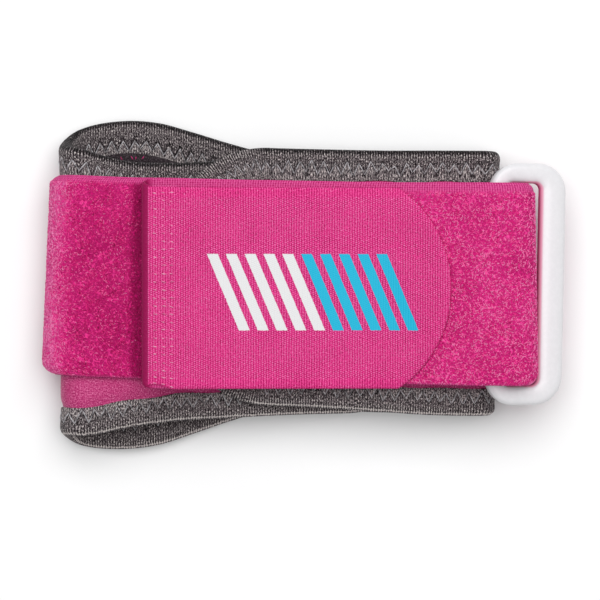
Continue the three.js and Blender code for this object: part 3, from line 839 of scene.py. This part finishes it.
# %% [markdown]
# ## Writing materials
# Node trees are easier to read as sums. `Value` wraps one socket, and Python's own operators on
# it add Math nodes. Everything else comes from `Finish.node`, which makes one node, sets its
# settings first, and then fills or links its sockets.


# %% Sockets as values
class Value:
    """One socket of a finish. An expression on values adds its Math nodes."""

    def __init__(self, finish, socket):
        self.finish, self.socket = finish, socket

    def math(self, operation, *others):
        return self.finish.node("Math", {"operation": operation}, dict(enumerate([self, *others])))

    def turned(self, operation, other):
        return self.finish.node("Math", {"operation": operation}, {0: other, 1: self})

    def __add__(self, other):
        return self.math("ADD", other)

    __radd__ = __add__

    def __mul__(self, other):
        return self.math("MULTIPLY", other)

    __rmul__ = __mul__

    def __sub__(self, other):
        return self.math("SUBTRACT", other)

    def __rsub__(self, other):
        return self.turned("SUBTRACT", other)

    def __truediv__(self, other):
        return self.math("DIVIDE", other)

    def __abs__(self):
        return self.math("ABSOLUTE")

    def largest(self, other):
        return self.math("MAXIMUM", other)

    def step(self, low, high):
        """0 below low, 1 above high and a smooth step between. high may be the lower one."""
        return self.finish.node("MapRange", {"interpolation_type": "SMOOTHSTEP"},
                                {0: self, 1: low, 2: high})

    def wave(self, length):
        """A sine wave of this length, from 0 to 1."""
        return (self * (2 * np.pi / length)).math("SINE") * 0.5 + 0.5


class Finish:
    """A material under construction."""

    def __init__(self, name):
        self.material = bpy.data.materials.new(name)
        self.material.use_nodes = True
        self.tree = self.material.node_tree
        self.tree.nodes.clear()

    def node(self, kind, settings=None, sockets=None, out=0):
        made = self.tree.nodes.new("ShaderNode" + kind)
        for name, value in (settings or {}).items():
            if name == "stops":
                self.set_stops(made.color_ramp, value)
            else:
                setattr(made, name, value)
        for key, value in (sockets or {}).items():
            if isinstance(value, Value):
                self.tree.links.new(value.socket, made.inputs[key])
            else:
                made.inputs[key].default_value = value
        return Value(self, made.outputs[out])

    def set_stops(self, ramp, stops):
        while len(ramp.elements) < len(stops):
            ramp.elements.new(1)
        for element, (place, colour) in zip(ramp.elements, stops):
            element.position, element.color = place, colour

    def cloth(self):
        """The UV map of a strip, and its lengths along and across, in metres."""
        uv = self.node("UVMap", {"uv_map": "cloth"})
        along = self.node("SeparateXYZ", None, {0: uv})
        return uv, along, Value(self, along.socket.node.outputs[1])

    def place(self):
        return self.node("TexCoord", None, None, out=3)

    def stretched(self, vector, scale, offset=(0, 0, 0)):
        return self.node("Mapping", None, {0: vector, 1: offset, 3: scale})

    def noise(self, vector, scale=1.0, detail=2.0, rough=0.5, bend=0.0):
        return self.node("TexNoise", None, {"Vector": vector, "Scale": scale, "Detail": detail,
                                            "Roughness": rough, "Distortion": bend})

    def ramp(self, value, *stops):
        return self.node("ValToRGB", {"stops": stops}, {0: value})

    def blend(self, share, first, second, way="MIX"):
        return self.node("Mix", {"data_type": "RGBA", "blend_type": way},
                         {0: share, 6: first, 7: second}, out=2)

    def relief(self, height, depth=1.0, normal=None):
        """Bump from a height in millimetres."""
        sockets = {"Height": height, "Distance": MM, "Strength": depth}
        return self.node("Bump", None, sockets | ({"Normal": normal} if normal else {}))

    def finish(self, colour, rough, normal=None, **plain):
        sockets = {"Base Color": colour, "Roughness": rough} | ({"Normal": normal} if normal else {})
        sockets |= {name.replace("_", " "): value for name, value in plain.items()}
        shader = self.node("BsdfPrincipled", None, sockets)
        output = self.tree.nodes.new("ShaderNodeOutputMaterial")
        self.tree.links.new(shader.socket, output.inputs[0])
        return self.material


LAMPS = 1.27  # brightness that the lamps give a white, flat, open face


def paint(red, green, blue):
    """The linear colour of a surface that is to look like this screen colour, from 0 to 255,
    under the lamps."""
    c = np.array([red, green, blue]) / 255
    linear = np.where(c < 0.04045, c / 12.92, ((c + 0.055) / 1.055) ** 2.4)
    return (*(linear / LAMPS).tolist(), 1.0)


# %% [markdown]
# ## Pile
# Where a noise field crosses its middle value it draws thin curling lines, which look just like
# the tops of yarn loops. Two such fields, laid over each other, give the tangle of the pile.


# %% Pile finish
def spread(noise, gain):
    """Noise keeps close to one half, and this moves it further away."""
    return (noise - 0.5) * gain + 0.5


def curls(finish, vector, scale, width, offset):
    """Lines where a noise field is near one half: 1 on the line and 0 beside it."""
    field = finish.noise(finish.stretched(vector, (1, 1, 1), offset), scale, 0.6, 0.4, 0.3)
    return abs(field - 0.5).step(width, width * 0.15)


def pile_finish():
    f = Finish("pile_pink")
    uv, along, across = f.cloth()
    top = curls(f, uv, 900, 0.055, (0.01, 0.02, 0))
    second = curls(f, uv, 1300, 0.05, (0.05, 0.03, 0.07))
    yarn = top.largest(second * 0.8)
    shade = spread(f.noise(uv, 2200, 2, 0.6), 1.6)
    cloud = f.noise(uv, 75, 3, 0.55)
    under = across.math("GREATER_THAN", 0.05)
    on_top = along.math("GREATER_THAN", right_fold * MM)
    wide = on_top * (SELVEDGE_TOP - SELVEDGE_ABOVE) + SELVEDGE_ABOVE
    edge = (across - (shade - 0.5) * 0.0006) * (1 / MM)
    above = (edge + wide).step(STRAP_WIDE / 2 - 0.7, STRAP_WIDE / 2 + 0.6)
    below = edge.step(SELVEDGE_BELOW + 0.3 - STRAP_WIDE / 2, SELVEDGE_BELOW - 0.3 - STRAP_WIDE / 2)
    woven = above.largest(below).largest(under)
    # The woven cloth at the leaf's fold is painted darker: a painted shade on the side of the roll
    # that faces away from the lamps.
    fold_shade = abs(along - leaf_fold * MM).step(0.0034, 0.001)
    rib = along.wave(0.00062)
    knot = across.wave(0.0005)
    weave = (rib * 0.55 + knot * 0.25) * (1 - fold_shade) + fold_shade * 0.2
    # rim is a painted sheen along both folds, where the pile rolls over.
    rim = abs(along - LEFT_FOLD_SHEEN * MM).step(0.008, 0.001)
    rim = rim + abs(along - RIGHT_FOLD_SHEEN * MM).step(0.006, 0.001)
    # A painted shade in the valley beside the leaf's fold.
    valley_shade = abs(along - VALLEY * MM).step(0.0028, 0.0008)
    value = yarn * 0.4 + shade * 0.35 + (cloud - 0.5) * 0.5 + rim * 0.35 - valley_shade * 0.35
    # The top pass is painted lighter: painted light, as more lamp light falls on it.
    value = value + on_top * 0.12
    pile = f.ramp(value, (0.0, paint(166, 4, 86)), (0.35, paint(220, 28, 124)),
                  (0.65, paint(255, 66, 158)), (1.0, paint(255, 128, 194)))
    cloth = f.ramp(weave * 0.7 + (shade - 0.5) * 0.6 + 0.15, (0.05, paint(160, 12, 84)),
                   (0.4, paint(214, 62, 136)), (0.95, paint(250, 122, 184)))
    dark = f.blend(fold_shade * 0.85, cloth, paint(150, 8, 76))
    colour = f.blend(woven, pile, dark)
    height = (yarn * 0.2 + shade * 0.15) * (1 - woven) + weave * 0.12 * woven
    return f.finish(colour, 0.9, f.relief(height), Specular_IOR_Level=0.12, Sheen_Weight=0.25,
                    Sheen_Roughness=0.35, Sheen_Tint=paint(255, 150, 200))


pile_pink = pile_finish()


def loop_finish():
    """The single loops. Their UV map holds how far a point is from the loop's top, and the tone
    of the whole loop. Each loop is painted darker towards its roots: a painted shade between loops."""
    f = Finish("pile_loops_pink")
    _, root, tone = f.cloth()
    fibre = spread(f.noise(f.place(), 2800, 1, 0.5), 1.2)
    cloud = f.noise(f.place(), 75, 3, 0.55)
    # Darker towards the roots: a painted shade between the loops.
    value = tone / MM + (cloud - 0.5) * 0.5 - root / MM * 0.35 + (fibre - 0.5) * 0.8 + 0.12
    colour = f.ramp(value, (0.0, paint(156, 0, 76)), (0.3, paint(226, 26, 124)),
                    (0.6, paint(262, 70, 162)), (1.0, paint(262, 150, 206)))
    return f.finish(colour, 0.85, Specular_IOR_Level=0.12, Sheen_Weight=0.1,
                    Sheen_Roughness=0.35, Sheen_Tint=paint(255, 160, 205))


loops_pink = loop_finish()

# %% [markdown]
# ## Jersey and lining
# Fine jersey over foam reads as a soft speckle. The lining inside is a dark knit.


# %% Jersey and lining finishes
def jersey_finish(name, dark, middle, light):
    f = Finish(name)
    uv, along, across = f.cloth()
    stitch = along.wave(0.00055) * 0.5 + across.wave(0.00042) * 0.5
    speckle = spread(f.noise(uv, 3000, 2, 0.6), 2.4)
    cloud = f.noise(uv, 160, 3, 0.6)
    value = speckle * 0.8 + stitch * 0.15 + cloud * 0.3 - 0.12
    colour = f.ramp(value, (0.0, dark), (0.5, middle), (1.0, light))
    height = stitch * 0.04 + speckle * 0.06 + cloud * 0.15
    return f.finish(colour, 0.9, f.relief(height), Specular_IOR_Level=0.15, Sheen_Weight=0.25,
                    Sheen_Roughness=0.4)


jersey_pink = jersey_finish("jersey_pink", paint(134, 14, 66), paint(196, 58, 122),
                            paint(250, 140, 190))
lining_dark = jersey_finish("lining_dark", paint(18, 12, 14), paint(46, 38, 42),
                            paint(96, 86, 92))

# %% [markdown]
# ## Heathered knit
# Heather yarn mixes dark and light fibres, so no two ribs have one grey. Long thin noise across
# the tape gives the fibres, and a wave along it gives the ribs. The zigzag's line is known, so
# painted shade darkens the tape where the thread pulls it down and in a groove beside it, and the
# swell beyond it is painted lighter. A painted dark line runs along the upper side's outer rim, and
# a painted highlight along the lower side's nose.


# %% Binding finish
def heather_finish():
    f = Finish("heather_grey")
    uv, along, across = f.cloth()
    fibre = spread(f.noise(f.stretched(uv, (5800, 1900, 1)), 1, 1, 0.5), 4.2)
    fleck = spread(f.noise(f.stretched(uv, (4600, 4600, 1), (0.3, 0.1, 0)), 1, 1, 0.5), 3.0)
    patch = f.noise(f.stretched(uv, (700, 700, 1), (0.7, 0.2, 0)), 1, 2, 0.5)
    sway = f.noise(f.stretched(uv, (300, 300, 1)), 1, 2)
    rib = (along + sway * 0.0004).wave(0.00064)
    into = abs(across)
    lining_side = across.math("LESS_THAN", 0.0)
    swing = (along * (1 / MM)).math("PINGPONG", stitch / 2) / (stitch / 2)
    line = swing * (ZIG_HIGH - ZIG_LOW) + ZIG_LOW + lining_side * INSIDE
    beyond = into * (1 / MM) - line
    # On the zigzag's line the tape is dented and painted a little darker, a painted shade. cone is
    # painted lighter beyond the line and darker on its edge side: painted light and shade on the
    # swell. The groove beside the line gets a painted shade, deeper on the lining's side.
    dent = abs(beyond).step(0.0, 0.7)
    cone = beyond.step(-0.5, 0.3)
    groove_shade = abs(beyond + 0.7).step(0.8, 0.1) * (lining_side * 0.2 + 0.06)
    rim = into.step(0.0026, 0.0012)
    # A painted dark line along the outer rim of the upper side: a painted shade.
    upper = along.step(upper_side + 0.006, upper_side)
    rim_shade = into.step(0.0015, 0.0005) * upper
    # A thin light line along the nose of the lower side: a painted highlight.
    lower = along.step(lower_side[0], lower_side[0] + 0.004)
    lower = lower * along.step(lower_side[1], lower_side[1] - 0.004)
    rim_highlight = abs(into - 0.0005).step(0.0003, 0.0001) * lower
    value = (fibre * 0.55 + fleck * 0.45 + (patch - 0.5) * 0.4 + (rib - 0.5) * (rim * 0.34 + 0.24)
             + (cone - 0.5) * 0.12 - (1 - dent) * 0.03 - groove_shade - rim_shade * 0.4
             + rim_highlight * 0.5 - 0.05)
    colour = f.ramp(value, (0.0, paint(6, 5, 5)), (0.35, paint(68, 60, 63)),
                    (0.65, paint(136, 126, 129)), (1.0, paint(232, 222, 218)))
    height = rib * (0.06 + 0.08 * rim) + fibre * 0.05 + dent * 0.25 + cone * 0.12
    return f.finish(colour, 0.9, f.relief(height), Specular_IOR_Level=0.15, Sheen_Weight=0.1,
                    Sheen_Roughness=0.4)


heather_grey = heather_finish()


def thread_finish(name, dark, light, rough=0.6):
    """Twisted thread: a fine noise between two tones."""
    f = Finish(name)
    twist = f.noise(f.place(), 1100, 2, 0.6)
    colour = f.ramp(twist, (0.36, dark), (0.64, light))
    return f.finish(colour, rough, f.relief(twist * 0.05), Specular_IOR_Level=0.2)


seam_grey = thread_finish("seam_grey", paint(100, 96, 99), paint(206, 202, 206))
stitch_pink = thread_finish("stitch_pink", paint(214, 80, 142), paint(248, 164, 200))
thread_pink = thread_finish("thread_pink", paint(170, 30, 96), paint(220, 70, 140))

# %% [markdown]
# ## Woven tab and its print
# The tape is woven in fine ribs of dots. Near its upper edge the weave is finer. The print is a
# plain band of slanting bars in white and light blue, as on any sports tape: the ink fills the
# weave, so the relief gets weaker under it.


# %% Tab finish
PRINT_FROM, PRINT_BARS, PRINT_PITCH, PRINT_SLOPE = 17.6, 10, 4.6, 0.42
PRINT_LOW, PRINT_HIGH = -10.4, 8.4


def tape_finish():
    f = Finish("tape_pink")
    uv, along, across = f.cloth()
    sway = f.noise(f.stretched(uv, (240, 240, 1)), 1, 2)
    wide = 0.00062
    column = along + (sway - 0.5) * 0.00022
    rib = column.wave(wide)
    shift = (column * (1 / (2 * wide))).math("FRACT").math("GREATER_THAN", 0.5) * 0.00025
    dot = (across + shift).wave(0.0005)
    border = abs(across).step(0.0218, 0.0226)
    fibre = spread(f.noise(f.stretched(uv, (3000, 3600, 1)), 1, 1, 0.5), 2.2)
    spark = f.noise(f.stretched(uv, (1500, 1900, 1), (0.2, 0.4, 0)), 1, 1, 0.5).step(0.54, 0.7)
    weave = rib * (0.2 + 0.8 * dot) * (1 - border) + (rib * 0.6 + 0.1) * border
    value = weave * 0.64 + (fibre - 0.5) * 0.5 + spark * 0.3 * dot + 0.26 - border * 0.12
    cloud = f.noise(uv, 110, 2, 0.5)
    pink = f.ramp(value + (cloud - 0.5) * 0.16, (0.05, paint(158, 0, 76)),
                  (0.35, paint(222, 40, 128)), (0.6, paint(250, 78, 158)),
                  (1.0, paint(255, 150, 204)))
    bar = (along + across * PRINT_SLOPE) * (1 / MM) - PRINT_FROM
    wall = (sway - 0.5) * 0.12 + (fibre - 0.5) * 0.16
    inside = (bar / PRINT_PITCH).math("FRACT") * PRINT_PITCH + wall
    ink = inside.step(0.35, 0.47) * inside.step(3.15, 3.03)
    ink = ink * bar.math("GREATER_THAN", 0.0) * bar.math("LESS_THAN", PRINT_BARS * PRINT_PITCH)
    tall = across * (1 / MM) + wall
    ink = ink * tall.step(PRINT_LOW, PRINT_LOW + 0.12) * tall.step(PRINT_HIGH, PRINT_HIGH - 0.12)
    blue = bar.math("GREATER_THAN", PRINT_BARS * PRINT_PITCH / 2)
    tone = f.blend(blue, paint(240, 240, 241), paint(10, 190, 226))
    inked = f.blend((1 - weave) * 0.06, tone, paint(120, 120, 140))
    colour = f.blend(ink, pink, inked)
    height = (weave * 0.16 + fibre * 0.06) * (1 - ink * 0.65) + ink * 0.03
    rough = 0.85 - ink * 0.3
    return f.finish(colour, rough, f.relief(height), Specular_IOR_Level=0.2)


tape_pink = tape_finish()

# %% [markdown]
# ## Moulded plastic
# The ring is glossy white plastic. Moulded gloss is never quite even, so a faint wave moves its
# highlights, and its roughness changes a little. Its inner wall is painted pink: a painted
# reflection of the pink strap that passes through it.


# %% Ring finish
def plastic_finish():
    f = Finish("moulded_white")
    where = f.place()
    wave = f.noise(where, 120, 2, 0.5)
    scuff = f.noise(where, 900, 3, 0.6)
    _, _, across = f.cloth()
    # The inner wall, all round the hole, is painted pink and deepest in the wall's middle: a painted
    # reflection of the pink strap beside it.
    from_inside = abs(across - SECTION_LONG / 2 * MM)
    reflection_share = from_inside.step(0.0017, 0.0011)
    deep = from_inside.step(0.0012, 0.0)
    plain = f.blend(scuff.step(0.35, 0.7), paint(236, 235, 238), paint(240, 239, 242))
    pink_reflection = f.blend(deep, paint(250, 176, 202), paint(216, 100, 150))
    colour = f.blend(reflection_share, plain, pink_reflection)
    return f.finish(colour, 0.3 + scuff * 0.08, f.relief(wave * 0.02), Coat_Weight=0.2,
                    Coat_Roughness=0.15)


moulded_white = plastic_finish()

# %% [markdown]
# ## Dressing the pieces
# Each piece gets its finish, and the CAD node that it stands for is hidden. The two faces of the
# foam band wear different cloths, so its faces are sorted by the UV map: the lining's part of the
# map starts past 50 mm.

# %% Pile loops, now that the strap's runs are known
pile_left = pile_loops("pile_left", [(left_fold - 24, left_fold + 15)], 4.0, 31)
# The loops of the top pass get a lighter tone (light=0.8): painted light, as more lamp light falls
# there.
pile_right = pile_loops("pile_right", [(right_fold + 6, top_run + 28)], 4.05, 32, SELVEDGE_TOP,
                        light=0.8)
pile_under = pile_loops("pile_under", [(left_fold + 15, right_fold + 6)], 0.35, 33)

# %% Dress
DRESS = {
    foam: (jersey_pink, "foam_band", "neoprene_band"),
    binding: (heather_grey, "binding", "edge_binding"),
    strap: (pile_pink, "pile", "pile_strap"),
    ring: (moulded_white, "ring", "plastic_ring"),
    tab: (tape_pink, "hook_tape", "hook_tab"),
    seam_outside: (seam_grey, "binding", None),
    seam_inside: (seam_grey, "binding", None),
    tab_stitches: (stitch_pink, "hook_tape", None),
    lining_threads: (thread_pink, "foam_band", None),
    pile_left: (loops_pink, "pile", None),
    pile_right: (loops_pink, "pile", None),
    pile_under: (loops_pink, "pile", None),
}
for piece, (material, slot_name, node) in DRESS.items():
    piece.data.materials.append(material)
    if node:
        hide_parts(node)

foam.data.materials.append(lining_dark)
corner_uv = np.empty(len(foam.data.loops) * 2)
foam.data.uv_layers["cloth"].data.foreach_get("uv", corner_uv)
inside = (corner_uv.reshape(-1, 4, 2)[..., 1].mean(1) > FAR_FACE * MM / 2).astype(np.int32)
foam.data.polygons.foreach_set("material_index", inside)

# %% [markdown]
# ## Floor and light
# A product on white is lit by big soft lamps. The main one hangs behind the strap, so the
# shadows fall to the front, and the floor is bright enough to come out white.


# %% Floor
def floor_finish():
    f = Finish("floor_white")
    grain = f.noise(f.place(), 40, 2)
    colour = f.blend(grain, (0.85, 0.85, 0.855, 1), (0.87, 0.87, 0.87, 1))
    return f.finish(colour, 0.95)


floor_mesh = bpy.data.meshes.new("floor")
floor_mesh.from_pydata([(-3, -3, 0), (3, -3, 0), (3, 3, 0), (-3, 3, 0)], [], [(0, 1, 2, 3)])
floor = bpy.data.objects.new("floor", floor_mesh)
floor.data.materials.append(floor_finish())
bpy.context.scene.collection.objects.link(floor)


# %% Lights
def lamp(name, place, size, power):
    """A square area lamp that faces the origin."""
    data = bpy.data.lights.new(name, "AREA")
    data.size, data.energy = size, power
    made = bpy.data.objects.new(name, data)
    made.location = place
    made.rotation_euler = (-made.location).to_track_quat("-Z", "Y").to_euler()
    bpy.context.scene.collection.objects.link(made)
    return made


WORLD_LIGHT = 0.38

lamp("lamp_key", (0.06, 0.31, 1.0), size=1.1, power=13.2)
world = bpy.data.worlds.new("studio")
world.use_nodes = True
world.node_tree.nodes["Background"].inputs["Color"].default_value = (1, 1, 1, 1)
world.node_tree.nodes["Background"].inputs["Strength"].default_value = WORLD_LIGHT
bpy.context.scene.world = world
bpy.context.scene.view_settings.view_transform = "Standard"
